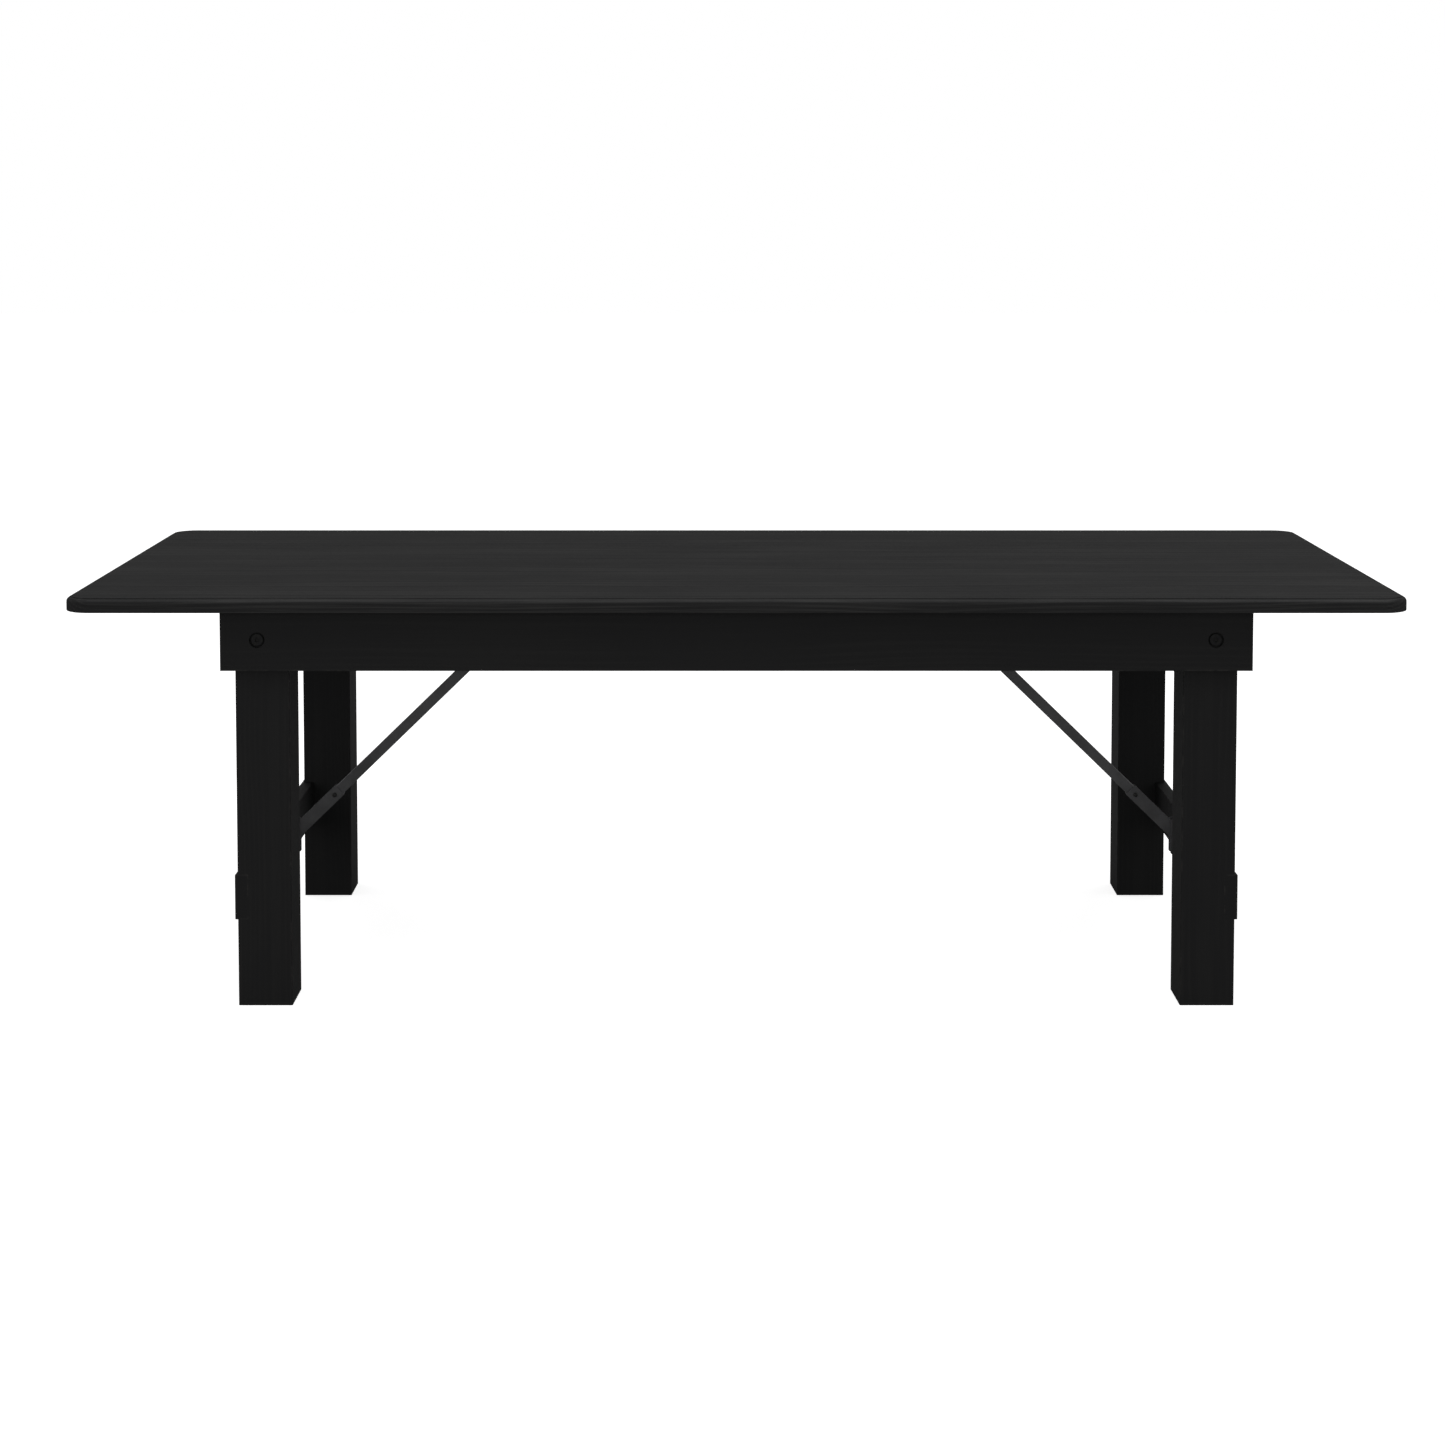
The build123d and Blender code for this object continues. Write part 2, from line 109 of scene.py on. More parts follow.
# the node tree of a material or of the world
class Finish:
    def __init__(self, owner):
        self.owner = owner
        owner.use_nodes = True
        self.tree = owner.node_tree
        self.tree.nodes.clear()

    def node(self, kind, settings=None, inputs=None, output=0):
        made = self.tree.nodes.new(kind)
        for key, setting in (settings or {}).items():
            setattr(made, key, setting)
        for key, given in (inputs or {}).items():
            if isinstance(given, Value):
                self.tree.links.new(given.socket, made.inputs[key])
            else:
                made.inputs[key].default_value = given
        return Value(self, made.outputs[output] if made.outputs else None)

    def place(self, centre, stretch=(1, 1, 1)):  # Object coordinates about a point, each axis stretched
        point = self.node("ShaderNodeTexCoord", output="Object")
        shift = [-c * s for c, s in zip(centre, stretch)]
        return self.node("ShaderNodeMapping", {}, {"Vector": point, "Location": shift, "Scale": stretch})

    def noise(self, point, scale, detail=3.0, rough=0.5):
        inputs = {"Vector": point, "Scale": scale, "Detail": detail, "Roughness": rough}
        return self.node("ShaderNodeTexNoise", {}, inputs)

    def blend(self, factor, first, second):  # mixes two colours
        return self.node("ShaderNodeMix", {"data_type": "RGBA"}, {0: factor, 6: first, 7: second}, output=2)

    def bump(self, height, strength, distance):
        inputs = {"Height": height, "Strength": strength, "Distance": distance}
        return self.node("ShaderNodeBump", {}, inputs)

    def split(self, point):
        return [self.node("ShaderNodeSeparateXYZ", {}, {0: point}, output=i) for i in range(3)]

    def edgeMark(self):  # 1 on a piece's eased edges
        return self.node("ShaderNodeAttribute", {"attribute_name": "easedEdge"}, output="Fac")

    def surface(self, inputs):
        shader = self.node("ShaderNodeBsdfPrincipled", {}, inputs)
        self.node("ShaderNodeOutputMaterial", {}, {"Surface": shader})
        return self.owner

    def shownAndLit(self, shown, lit):  # one shader for the camera, one for light on the table
        seen = self.node("ShaderNodeLightPath", output="Is Camera Ray")
        return self.node("ShaderNodeMixShader", {}, {0: seen, 1: lit, 2: shown})


# black satin paint on pine: the grain still tells through the paint
painted = {
    "top": {
        "dark": (0.0178, 0.0178, 0.0181, 1),
        "light": (0.0338, 0.0336, 0.0333, 1),
        "roughness": 0.80,
        "gloss": 0.05,
        "fibreTell": 0.60,
        "ringTell": 0.09,
        "cloudTell": 0.25,
        "relief": 0.45,
    },
    "frame": {
        "dark": (0.0095, 0.0095, 0.0097, 1),
        "light": (0.0133, 0.0132, 0.0130, 1),
        "roughness": 0.66,
        "gloss": 0.16,
        "fibreTell": 0.40,
        "ringTell": 0.07,
        "cloudTell": 0.40,
        "relief": 0.35,
    },
    "toneStart": 0.45,
    "toneEnd": 0.60,
    "grainStep": (1.37, 2.11, 0.73),  # how far apart the pieces are cut from the same endless plank
    "grainWrap": 5,
    "fibreWidth": 0.0016,
    "fibreLength": 0.17,
    "fibreDetail": 4.0,
    "fibreRough": 0.6,
    "ringGap": 0.0065,
    "ringPower": 2.2,
    "pithDepth": 0.085,
    "pithShift": 0.5,
    "pithTurn": 2.3,
    "wander": 0.088,
    "wanderAcross": 4.0,
    "wanderAlong": 0.9,
    "cloudScale": 3.0,
    "dustScale": 900.0,
    "fibreSheen": 0.16,  # how far each pattern moves the roughness
    "cloudSheen": 0.14,
    "dustSheen": 0.08,
    "wearSheen": 0.08,
    "fibreHeight": 0.5,
    "dustHeight": 0.10,
    "reliefDepth": 0.0005,
}

# where the paint is rubbed: thin along the edges, and polished on the top's rounded edge
rubbed = {
    "colour": (0.032, 0.030, 0.028, 1),
    "colourShare": 0.7,
    "width": 0.0035,
    "patchScale": 42.0,
    "patchDetail": 5.0,
    "patchRough": 0.65,
    "patchStart": 0.46,
    "patchEnd": 0.66,
    "shine": 0.24,
    "shinePatches": 0.2,
    "shineRoughness": 0.30,
    "shineLow": 0.0080,  # depths under the top's face between which the shine starts, is full and stops
    "shineFull": 0.0035,
    "shineHigh": 0.0016,
    "shineStop": 0.0002,
    "shineCorner": 0.045,  # it fades out towards each end from here
    "shineCornerEnd": 0.009,
}


def grainAxes(half, grain):  # the grain's axis, the wide way across it and the thin way
    along = "xyz".index(grain)
    across = 2 if along == 0 and half.z > half.y else (1 if along == 0 else 0)
    return along, across, 3 - along - across


def growthRings(finish, xyz, half, axes, cutFrom, seed):
    s = painted
    along, across, depth = axes
    stretch = [s["wanderAcross"]] * 3
    stretch[along] = s["wanderAlong"]
    wander = finish.noise(finish.place(cutFrom, stretch), 1.0, 2.0).sway(s["wander"])
    pith = half[across] * (s["pithShift"] * math.sin(seed * s["pithTurn"]))
    aside = xyz[across] - pith + wander
    down = xyz[depth] + s["pithDepth"]
    radius = (aside * aside + down * down) ** 0.5
    rings = (radius * (2 * math.pi / s["ringGap"])).maths("SINE") * 0.5 + 0.5
    return rings ** s["ringPower"]


def edgeNearness(gaps):  # the second smallest depth under a box's faces is small only near an edge
    nearest = gaps[0].least(gaps[1])
    nextOne = gaps[0].most(gaps[1]).least(gaps[2])
    return nearest.most(nextOne)


def topShine(xyz, half, gaps, patches):
    s = rubbed
    below = half.z - xyz[2]
    fadeDown = below.ramp(s["shineFull"], s["shineLow"], 1.0, 0.0)
    fadeUp = below.ramp(s["shineHigh"] - s["shineStop"], s["shineHigh"])
    ends = gaps[0].ramp(s["shineCornerEnd"], s["shineCorner"])
    return fadeDown * fadeUp * ends * (s["shine"] + patches.sway(s["shinePatches"]))


def paintedWood(name, low, high, grain, seed):
    s = painted
    isTop = "board" in name
    coat = s["top" if isTop else "frame"]  # the top has a flatter, slightly greyer coat
    fibreTell, ringTell, cloudTell = coat["fibreTell"], coat["ringTell"], coat["cloudTell"]
    finish = Finish(bpy.data.materials.new(name))
    centre = (low + high) / 2
    half = (high - low) / 2
    cutFrom = centre + Vector([seed * step % s["grainWrap"] for step in s["grainStep"]])
    axes = grainAxes(half, grain)
    point = finish.place(centre)
    xyz = finish.split(point)
    fibreStretch = [1 / s["fibreWidth"]] * 3
    fibreStretch[axes[0]] = 1 / s["fibreLength"]
    fibres = finish.noise(finish.place(cutFrom, fibreStretch), 1.0, s["fibreDetail"], s["fibreRough"])
    rings = growthRings(finish, xyz, half, axes, cutFrom, seed)
    clouds = finish.noise(finish.place(cutFrom), s["cloudScale"])
    dust = finish.noise(point, s["dustScale"], 2.0)
    gaps = [half[i] - abs(xyz[i]) for i in range(3)]
    r = rubbed
    patches = finish.noise(finish.place(cutFrom), r["patchScale"], r["patchDetail"], r["patchRough"])
    wear = edgeNearness(gaps).ramp(0.0, r["width"], 1.0, 0.0) * patches.ramp(r["patchStart"], r["patchEnd"])
    tone = fibres * fibreTell + rings * ringTell + clouds * cloudTell
    noiseTell = fibreTell + cloudTell
    tone = tone.ramp(s["toneStart"] * noiseTell, s["toneEnd"] * noiseTell + ringTell)
    colour = finish.blend(tone, coat["dark"], coat["light"])
    sheen = fibres.sway(s["fibreSheen"]) + clouds.sway(s["cloudSheen"]) + dust.sway(s["dustSheen"])
    height = fibres * s["fibreHeight"] + rings * ringTell + dust * s["dustHeight"]
    inputs = {
        "Base Color": finish.blend(wear * r["colourShare"], colour, r["colour"]),
        "Roughness": coat["roughness"] + sheen - wear * s["wearSheen"],
        "Specular IOR Level": coat["gloss"],
        "Normal": finish.bump(height, coat["relief"], s["reliefDepth"]),
    }
    if isTop:
        inputs["Coat Weight"] = topShine(xyz, half, gaps, patches)
        inputs["Coat Roughness"] = r["shineRoughness"]
    return finish.surface(inputs)


# dark powder coat on steel: a fine pebbled skin, thin on the edges
coated = {
    "dark": (0.062, 0.062, 0.064, 1),
    "light": (0.092, 0.092, 0.095, 1),
    "scuffed": (0.09, 0.09, 0.09, 1),
    "worn": (0.20, 0.20, 0.20, 1),
    "shift": (0.31, 0.17, 0.23),
    "pebble": 0.0009,
    "relief": 0.30,
    "reliefDepth": 0.00025,
    "cloudScale": 24.0,
    "cloudRough": 0.6,
    "cloudStart": 0.3,
    "cloudEnd": 0.75,
    "scuffScale": 130.0,
    "scuffDetail": 5.0,
    "scuffRough": 0.7,
    "scuffStart": 0.60,
    "scuffEnd": 0.72,
    "scuffShare": 0.30,
    "chipScale": 60.0,
    "chipRough": 0.65,
    "chipStart": 0.42,
    "chipEnd": 0.62,
    "wornLeast": 0.25,
    "wornShare": 0.6,
    "roughness": 0.48,
    "cloudSheen": 0.18,
    "scuffSheen": 0.10,
    "wornSheen": 0.1,
    "gloss": 0.35,
}


def coatedSteel(name, seed):
    s = coated
    finish = Finish(bpy.data.materials.new(name))
    point = finish.place([seed * step for step in s["shift"]])
    pebbles = finish.noise(point, 1 / s["pebble"], 2.0)
    clouds = finish.noise(point, s["cloudScale"], 4.0, s["cloudRough"])
    scuffs = finish.noise(point, s["scuffScale"], s["scuffDetail"], s["scuffRough"])
    scuffs = scuffs.ramp(s["scuffStart"], s["scuffEnd"])
    chips = finish.noise(point, s["chipScale"], 4.0, s["chipRough"]).ramp(s["chipStart"], s["chipEnd"])
    worn = finish.edgeMark() * (s["wornLeast"] + (1 - s["wornLeast"]) * chips)
    colour = finish.blend(clouds.ramp(s["cloudStart"], s["cloudEnd"]), s["dark"], s["light"])
    colour = finish.blend(scuffs * s["scuffShare"], colour, s["scuffed"])
    sheen = clouds.sway(s["cloudSheen"]) + scuffs * s["scuffSheen"] - worn * s["wornSheen"]
    return finish.surface({
        "Base Color": finish.blend(worn * s["wornShare"], colour, s["worn"]),
        "Roughness": s["roughness"] + sheen,
        "Specular IOR Level": s["gloss"],
        "Normal": finish.bump(pebbles, s["relief"], s["reliefDepth"]),
    })


# bare and plated metals
metals = {
    "bolt": {
        "dark": (0.004, 0.004, 0.005, 1),
        "light": (0.012, 0.012, 0.011, 1),
        "roughness": 0.62,
        "metallic": 0.1,
        "gloss": 0.2,
    },
    "screw": {
        "dark": (0.030, 0.030, 0.032, 1),
        "light": (0.080, 0.078, 0.075, 1),
        "roughness": 0.36,
        "metallic": 0.85,
        "gloss": 0.5,
    },
    "button": {
        "dark": (0.008, 0.008, 0.008, 1),
        "light": (0.030, 0.030, 0.029, 1),
        "roughness": 0.38,
        "metallic": 0.3,
        "gloss": 0.5,
    },
    "spring": {
        "dark": (0.28, 0.27, 0.26, 1),
        "light": (0.45, 0.44, 0.42, 1),
        "roughness": 0.32,
        "metallic": 1.0,
        "gloss": 0.5,
    },
    "shift": (0.29, 0.13, 0.19),
    "cloudScale": 160.0,
    "cloudRough": 0.6,
    "cloudStart": 0.3,
    "cloudEnd": 0.7,
    "cloudSheen": 0.22,
    "gritScale": 2400.0,
    "gritSheen": 0.10,
    "relief": 0.25,
    "reliefDepth": 0.00008,
}


def bareMetal(name, kind, seed):
    s = metals
    metal = s[kind]
    finish = Finish(bpy.data.materials.new(name))
    point = finish.place([seed * step for step in s["shift"]])
    clouds = finish.noise(point, s["cloudScale"], 4.0, s["cloudRough"])
    grit = finish.noise(point, s["gritScale"], 2.0)
    tone = clouds.ramp(s["cloudStart"], s["cloudEnd"])
    return finish.surface({
        "Base Color": finish.blend(tone, metal["dark"], metal["light"]),
        "Roughness": metal["roughness"] + clouds.sway(s["cloudSheen"]) + grit.sway(s["gritSheen"]),
        "Metallic": metal["metallic"],
        "Specular IOR Level": metal["gloss"],
        "Normal": finish.bump(grit, s["relief"], s["reliefDepth"]),
    })


# natural nylon of the bushes
nylon = {
    "dark": (0.60, 0.57, 0.50, 1),
    "light": (0.70, 0.67, 0.60, 1),
    "shift": 0.21,
    "cloudScale": 90.0,
    "cloudSheen": 0.15,
    "gritScale": 1800.0,
    "roughness": 0.42,
    "relief": 0.20,
    "reliefDepth": 0.0001,
}


def mouldedNylon(name, seed):
    s = nylon
    finish = Finish(bpy.data.materials.new(name))
    point = finish.place((seed * s["shift"], 0, 0))
    clouds = finish.noise(point, s["cloudScale"])
    grit = finish.noise(point, s["gritScale"], 2.0)
    return finish.surface({
        "Base Color": finish.blend(clouds, s["dark"], s["light"]),
        "Roughness": s["roughness"] + clouds.sway(s["cloudSheen"]),
        "Normal": finish.bump(grit, s["relief"], s["reliefDepth"]),
    })


grainOf = {
    "top_board": "x", "front_apron": "x", "rear_apron": "x", "leg_front": "z", "leg_rear": "z",
    "leg_rail": "y", "middle_batten": "y", "end_batten": "y",
}
steelNodes = ("brace_bar", "brace_link", "rail_bracket", "top_bracket")
boltNodes = ("pivot_bolts", "pivot_nuts", "pivot_washers", "pivot_spacers", "link_pin", "top_pin")


def finishFor(name, seed):
    for key, grain in grainOf.items():
        if name.startswith(key):
            low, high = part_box(name)
            return paintedWood(name + "Paint", low, high, grain, seed)
    if "screws" in name:
        return bareMetal(name + "Steel", "screw", seed)
    if name.startswith(steelNodes):
        return coatedSteel(name + "Coat", seed)
    if name.startswith(boltNodes):
        return bareMetal(name + "Steel", "bolt", seed)
    if name.startswith("snap_button"):
        return bareMetal(name + "Steel", "button", seed)
    if name.startswith("button_spring"):
        return bareMetal(name + "Steel", "spring", seed)
    return mouldedNylon(name + "Nylon", seed)


for number, name in enumerate(sorted(nodes)):
    nodes[name].data.materials.clear()
    nodes[name].data.materials.append(finishFor(name, number + 1))
print("finishes made")


shading = {"smoothBelow": 32}  # degrees between two faces that still shade as one


def plainName(node):
    first, *rest = node.split("_")
    return first + "".join(word.capitalize() for word in rest)


def finishPiece(name, bm, stands):
    mesh = bpy.data.meshes.new(name)
    bmesh.ops.recalc_face_normals(bm, faces=bm.faces)
    for face in bm.faces:
        face.smooth = True
    bm.to_mesh(mesh)
    bm.free()
    mesh.set_sharp_from_angle(angle=math.radians(shading["smoothBelow"]))
    piece = bpy.data.objects.new(name, mesh)
    bpy.context.scene.collection.objects.link(piece)
    piece.data.materials.append(nodes[stands].data.materials[0])
    flatten = piece.modifiers.new("flatNormals", "WEIGHTED_NORMAL")  # keeps wide faces flat
    flatten.keep_sharp = True
    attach(piece, bodyOf[stands])
    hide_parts(stands)
    return piece


def bevelEdges(bm, edges, offset, segments):
    made = bmesh.ops.bevel(bm, geom=edges, offset=offset, offset_type="OFFSET", affect="EDGES",
                           segments=segments, profile=0.5, material=-1, clamp_overlap=True)
    return made["faces"]


# boards of the top: one rounded slab, sawn at the seams, each sawn edge eased
boards = {
    "count": 9,
    "corner": 0.051,
    "cornerSteps": 16,
    "topRound": 0.0085,
    "topSteps": 6,
    "quirk": 0.0014,  # the small step that the router leaves above the round
    "quirkSlope": 0.0003,
    "bottomRound": 0.0012,
    "bottomSteps": 2,
    "seamEase": 0.0011,
    "seamSteps": 2,
    "sawSnap": 1e-6,
}


def buildSlab(slabLow, slabHigh):
    s = boards
    bm = bmesh.new()
    shoulder = slabHigh - Vector((0, 0, s["quirk"]))
    bmesh.ops.create_cube(bm, size=1)
    bmesh.ops.scale(bm, vec=shoulder - slabLow, verts=bm.verts)
    bmesh.ops.translate(bm, vec=(slabLow + shoulder) / 2, verts=bm.verts)
    upright = [e for e in bm.edges if abs(e.verts[0].co.z - e.verts[1].co.z) > closeBy]
    bevelEdges(bm, upright, s["corner"], s["cornerSteps"])
    rounds = (
        (shoulder.z, s["topRound"], s["topSteps"]),
        (slabLow.z, s["bottomRound"], s["bottomSteps"]),
    )
    for level, offset, steps in rounds:
        rim = [e for e in bm.edges if all(abs(v.co.z - level) < closeBy for v in e.verts)]
        bevelEdges(bm, rim, offset, steps)
    topFace = max(bm.faces, key=lambda face: face.calc_center_median().z)
    bmesh.ops.inset_region(bm, faces=[topFace], thickness=s["quirkSlope"], depth=s["quirk"])
    return bm


def buildBoard(number, slabLow, slabHigh):
    s = boards
    node = f"top_board_{number}"
    low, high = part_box(node)
    bm = buildSlab(slabLow, slabHigh)
    for y, side in ((low.y, -1), (high.y, 1)):
        if slabLow.y + closeBy < y < slabHigh.y - closeBy:
            cut = bmesh.ops.bisect_plane(bm, geom=bm.verts[:] + bm.edges[:] + bm.faces[:], dist=s["sawSnap"],
                                         plane_co=(0, y, 0), plane_no=(0, side, 0), clear_outer=True)
            sawn = [e for e in cut["geom_cut"] if isinstance(e, bmesh.types.BMEdge)]
            bmesh.ops.contextual_create(bm, geom=sawn)
            bevelEdges(bm, sawn, s["seamEase"], s["seamSteps"])
    finishPiece(f"topBoard{number}", bm, node)


slabLow = Vector(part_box("top_board_1")[0])
slabHigh = Vector(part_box(f"top_board_{boards['count']}")[1])
for number in range(1, boards["count"] + 1):
    buildBoard(number, slabLow, slabHigh)
print("top boards built")


# metal pieces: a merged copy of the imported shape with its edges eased
eased = {
    "radius": {
        "brace_bar": 0.0006,
        "brace_link": 0.0005,
        "rail_bracket": 0.0006,
        "top_bracket": 0.0006,
        "link_pin": 0.0004,
        "top_pin": 0.0004,
        "pivot_bolts": 0.0004,
        "pivot_nuts": 0.0007,
        "pivot_washers": 0.0003,
        "snap_button": 0.0002,
    },
    "steps": 2,
    "flatWithin": 0.5,  # degrees
    "sharpOver": 40,
}


def easeMetal(node, radius):
    s = eased
    bm = bmesh.new()
    bm.from_mesh(nodes[node].data)
    mark = bm.loops.layers.float.new("easedEdge")  # the coat wears thin where this is 1
    bmesh.ops.remove_doubles(bm, verts=bm.verts, dist=weldGap)
    bmesh.ops.dissolve_limit(bm, angle_limit=math.radians(s["flatWithin"]), verts=bm.verts, edges=bm.edges)
    sharp = [e for e in bm.edges if e.is_manifold and e.calc_face_angle(0) > math.radians(s["sharpOver"])]
    for face in bevelEdges(bm, sharp, radius, s["steps"]):
        for loop in face.loops:
            loop[mark] = 1.0
    finishPiece(plainName(node), bm, node)


# wood screws with a cross recess, one at each packed screw
woodScrew = {
    "headRadius": 0.0044,
    "headDepth": 0.0024,
    "shankRadius": 0.00225,
    "tipLength": 0.005,
    "tipRadius": 0.0003,
    "recessHalf": 0.0021,
    "recessWing": 0.0006,
    "recessDepth": 0.0014,
    "recessTaper": 0.6,
    "sides": 20,
}


def looseParts(bm):
    left = set(bm.verts)
    while left:
        found = {left.pop()}
        fresh = list(found)
        while fresh:
            vert = fresh.pop()
            for other in (e.other_vert(vert) for e in vert.link_edges):
                if other not in found:
                    found.add(other)
                    fresh.append(other)
        left -= found
        yield [v.co.copy() for v in found]


def screwPlace(points):  # the middle of the head's face, the way it faces and the screw's length
    low = Vector([min(p[i] for p in points) for i in range(3)])
    high = Vector([max(p[i] for p in points) for i in range(3)])
    middle = (low + high) / 2
    axis = max(range(3), key=lambda i: high[i] - low[i])
    length = high[axis] - low[axis]
    reach = [0.0, 0.0]
    for p in points:
        off = p - middle
        end = int(off[axis] > 0)
        off[axis] = 0
        reach[end] = max(reach[end], off.length)
    facing = Vector((0, 0, 0))
    facing[axis] = 1 if reach[1] > reach[0] else -1  # the head is the wide end
    return middle + facing * length / 2, facing, length


def ofKind(made, kind):
    return [part for part in made if isinstance(part, kind)]


def crossOutline(bm):  # the recess's rim, a quarter at a time
    half, wing = woodScrew["recessHalf"], woodScrew["recessWing"]
    cross = []
    for quarter in range(4):
        spin = Matrix.Rotation(quarter * math.pi / 2, 4, "Z")
        for x, y in ((half, -wing), (half, wing), (wing, wing)):
            cross.append(bm.verts.new(spin @ Vector((x, y, 0))))
    return cross, [bm.edges.new(pair) for pair in zip(cross, cross[1:] + cross[:1])]


def addScrew(bm, place, facing, length):
    s = woodScrew
    turn = Matrix.Translation(place) @ facing.to_track_quat("Z", "Y").to_matrix().to_4x4()
    rim = bmesh.ops.create_circle(bm, segments=s["sides"], radius=s["headRadius"])["verts"]
    rimEdges = list({e for v in rim for e in v.link_edges})
    cross, crossEdges = crossOutline(bm)
    bmesh.ops.triangle_fill(bm, use_beauty=True, use_dissolve=False, edges=rimEdges + crossEdges)
    walls = bmesh.ops.extrude_edge_only(bm, edges=crossEdges)["geom"]
    pit = ofKind(walls, bmesh.types.BMVert)
    bmesh.ops.scale(bm, vec=(s["recessTaper"], s["recessTaper"], 1), verts=pit)
    bmesh.ops.translate(bm, vec=(0, 0, -s["recessDepth"]), verts=pit)
    bmesh.ops.contextual_create(bm, geom=ofKind(walls, bmesh.types.BMEdge))
    made = set(rim) | set(cross) | set(pit)
    stations = (
        (s["headDepth"], s["shankRadius"]),
        (length - s["tipLength"], s["shankRadius"]),
        (length, s["tipRadius"]),
    )
    ring = rimEdges
    for depth, radius in stations:
        grown = bmesh.ops.extrude_edge_only(bm, edges=ring)["geom"]
        verts = ofKind(grown, bmesh.types.BMVert)
        ring = ofKind(grown, bmesh.types.BMEdge)
        for v in verts:
            flat = Vector((v.co.x, v.co.y, 0)).normalized() * radius
            v.co = Vector((flat.x, flat.y, -depth))
        made |= set(verts)
    bmesh.ops.contextual_create(bm, geom=ring)
    bmesh.ops.transform(bm, matrix=turn, verts=list(made))


def buildScrews(node):
    packed = bmesh.new()
    packed.from_mesh(nodes[node].data)
    bmesh.ops.remove_doubles(packed, verts=packed.verts, dist=weldGap)
    places = [screwPlace(points) for points in looseParts(packed)]
    packed.free()
    bm = bmesh.new()
    for place, facing, length in sorted(places, key=lambda found: tuple(found[0])):
        addScrew(bm, place, facing, length)
    finishPiece(plainName(node), bm, node)


# coil springs behind the snap buttons: a wire circle spun up its axis
coil = {
    "wire": 0.00045,
    "turns": 4,
    "stepsPerTurn": 30,
    "wireSides": 10,
    "press": 0.0033,
}


def buildSpring(node):
    s = coil
    low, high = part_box(node)
    middle = (low + high) / 2
    length = high.y - low.y
    steps = s["turns"] * s["stepsPerTurn"]
    bm = bmesh.new()
    wire = bmesh.ops.create_circle(bm, segments=s["wireSides"], radius=s["wire"])["verts"]
    start = Vector((high.x - s["wire"], low.y + s["wire"], middle.z))
    bmesh.ops.translate(bm, vec=start, verts=wire)
    climb = (length - 2 * s["wire"]) / steps
    bmesh.ops.spin(bm, geom=bm.verts[:] + bm.edges[:], cent=middle, axis=(0, 1, 0), dvec=(0, climb, 0),
                   angle=2 * math.pi * s["turns"], steps=steps, use_merge=False)
    bmesh.ops.holes_fill(bm, edges=[e for e in bm.edges if e.is_boundary], sides=0)
    piece = finishPiece(plainName(node), bm, node)
    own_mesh(piece)


for side in ("right", "left"):
    buildSpring(f"button_spring_{side}")
for node in sorted(nodes):
    if "screws" in node:
        buildScrews(node)
        continue
    for key, radius in eased["radius"].items():
        if node.startswith(key):
            easeMetal(node, radius)
print("metal pieces and screws built")


# floor, room and light: both look white to the camera and light the table gently
studio = {
    "white": (1, 1, 1, 1),
    "floorSize": 60.0,
    "floorColour": (0.86, 0.86, 0.86, 1),
    "floorRoughness": 0.7,
    "floorCloudScale": 1.2,
    "floorCloudSheen": 0.1,
    "floorGlow": 0.80,
    "floorBounce": (0.30, 0.30, 0.30, 1),
    "roomLight": 0.42,
    "backdrop": 1.0,
}
lamps = (
    {"name": "overhead", "at": (0, -1.0, 3.5), "to": (0, -0.3, 0.7), "size": (5.0, 3.0), "power": 40},
    {"name": "rightEnd", "at": (2.1, -0.9, 3.4), "to": (1.9, -0.5, 0.7), "size": (1.6, 1.4), "power": 10},
    {"name": "fromFront", "at": (-0.8, -6.5, 1.4), "to": (0, 0, 0.4), "size": (6.0, 2.4), "power": 80},
    {"name": "fromLeft", "at": (-7.0, 0.2, 1.5), "to": (0, 0, 0.4), "size": (3.0, 2.4), "power": 34},
    {"name": "backLeft", "at": (-5.0, 5.5, 3.4), "to": (0, 0, 0.4), "size": (3.0, 2.4), "power": 22},
    {"name": "fromRight", "at": (7.0, 0.2, 1.5), "to": (0, 0, 0.4), "size": (3.0, 2.4), "power": 34},
    {"name": "backRight", "at": (5.0, 5.5, 3.4), "to": (0, 0, 0.4), "size": (3.0, 2.4), "power": 22},
)


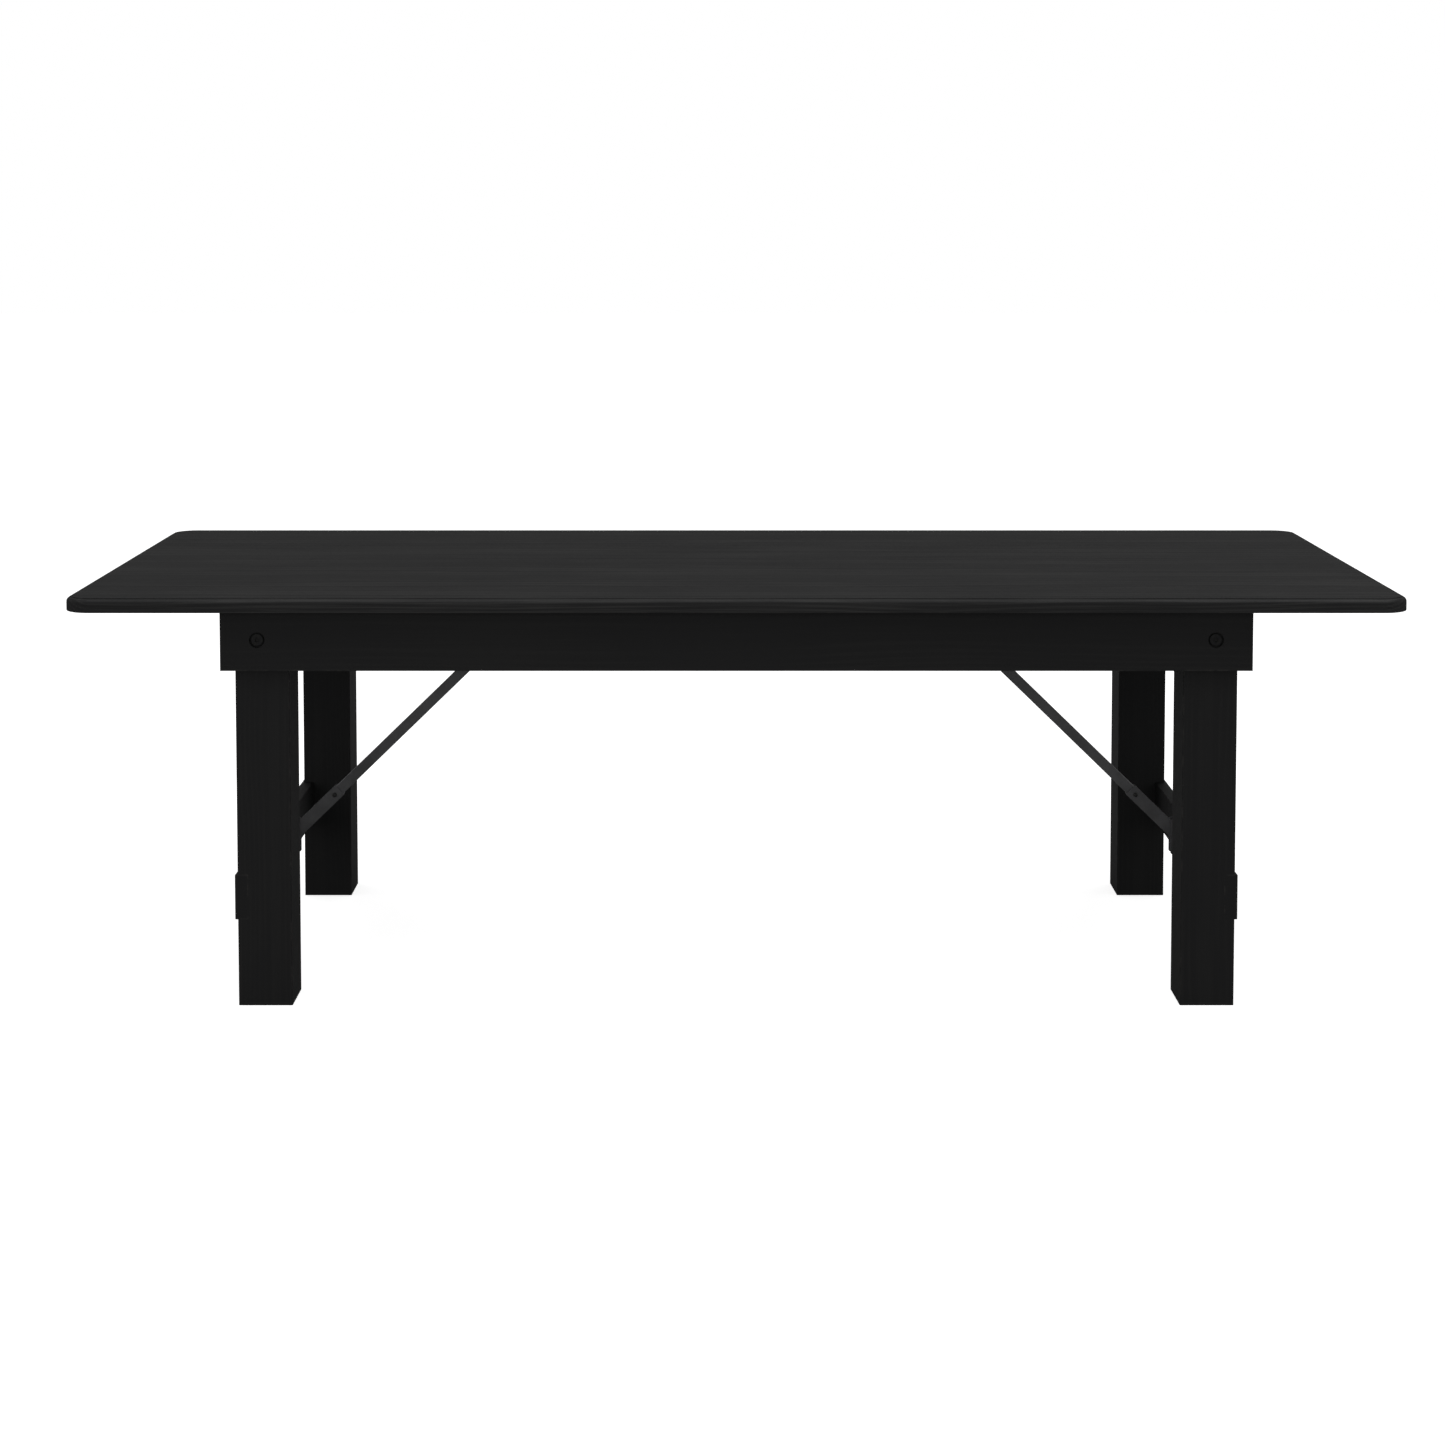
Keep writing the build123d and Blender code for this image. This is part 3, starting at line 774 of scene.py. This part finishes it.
def buildFloor():
    s = studio
    bm = bmesh.new()
    bmesh.ops.create_grid(bm, x_segments=1, y_segments=1, size=s["floorSize"] / 2)
    mesh = bpy.data.meshes.new("floor")
    bm.to_mesh(mesh)
    bm.free()
    floor = bpy.data.objects.new("floor", mesh)
    bpy.context.scene.collection.objects.link(floor)
    finish = Finish(bpy.data.materials.new("palePaper"))
    clouds = finish.noise(finish.place((0, 0, 0)), s["floorCloudScale"])
    shown = finish.node("ShaderNodeBsdfPrincipled", {}, {
        "Base Color": s["floorColour"], "Roughness": s["floorRoughness"] + clouds * s["floorCloudSheen"],
        "Specular IOR Level": 0.0, "Emission Color": s["white"], "Emission Strength": s["floorGlow"],
    })
    lit = finish.node("ShaderNodeBsdfDiffuse", {}, {"Color": s["floorBounce"]})
    finish.node("ShaderNodeOutputMaterial", {}, {"Surface": finish.shownAndLit(shown, lit)})
    floor.data.materials.append(finish.owner)


def buildRoom():
    s = studio
    finish = Finish(bpy.data.worlds.new("room"))
    shown = finish.node("ShaderNodeBackground", {}, {"Color": s["white"], "Strength": s["backdrop"]})
    lit = finish.node("ShaderNodeBackground", {}, {"Color": s["white"], "Strength": s["roomLight"]})
    finish.node("ShaderNodeOutputWorld", {}, {"Surface": finish.shownAndLit(shown, lit)})
    bpy.context.scene.world = finish.owner


def addLamp(name, at, to, size, power):
    data = bpy.data.lights.new(name, "AREA")
    data.shape = "RECTANGLE"
    data.size, data.size_y = size
    data.energy = power
    lamp = bpy.data.objects.new(name, data)
    lamp.location = at
    lamp.rotation_euler = (Vector(to) - Vector(at)).to_track_quat("-Z", "Y").to_euler()
    lamp.visible_camera = False
    bpy.context.scene.collection.objects.link(lamp)


buildFloor()
buildRoom()
for lamp in lamps:
    addLamp(**lamp)
bpy.context.scene.view_settings.view_transform = "Standard"
print("studio lit")


# camera
cameraSet = {
    "lens": 66.202,
    "sensor": 36.0,
    "place": (-0.0267, -5.26116, 1.47744),
    "tilt": 3.5668,
    "shift": (0.0005, -0.245),
}
cameraData = bpy.data.cameras.new("camera")
cameraData.lens = cameraSet["lens"]
cameraData.sensor_width = cameraSet["sensor"]
cameraData.shift_x, cameraData.shift_y = cameraSet["shift"]
camera = bpy.data.objects.new("camera", cameraData)
camera.location = cameraSet["place"]
camera.rotation_euler = (math.radians(90 - cameraSet["tilt"]), 0, 0)
bpy.context.scene.collection.objects.link(camera)
bpy.context.scene.camera = camera
print("camera placed")
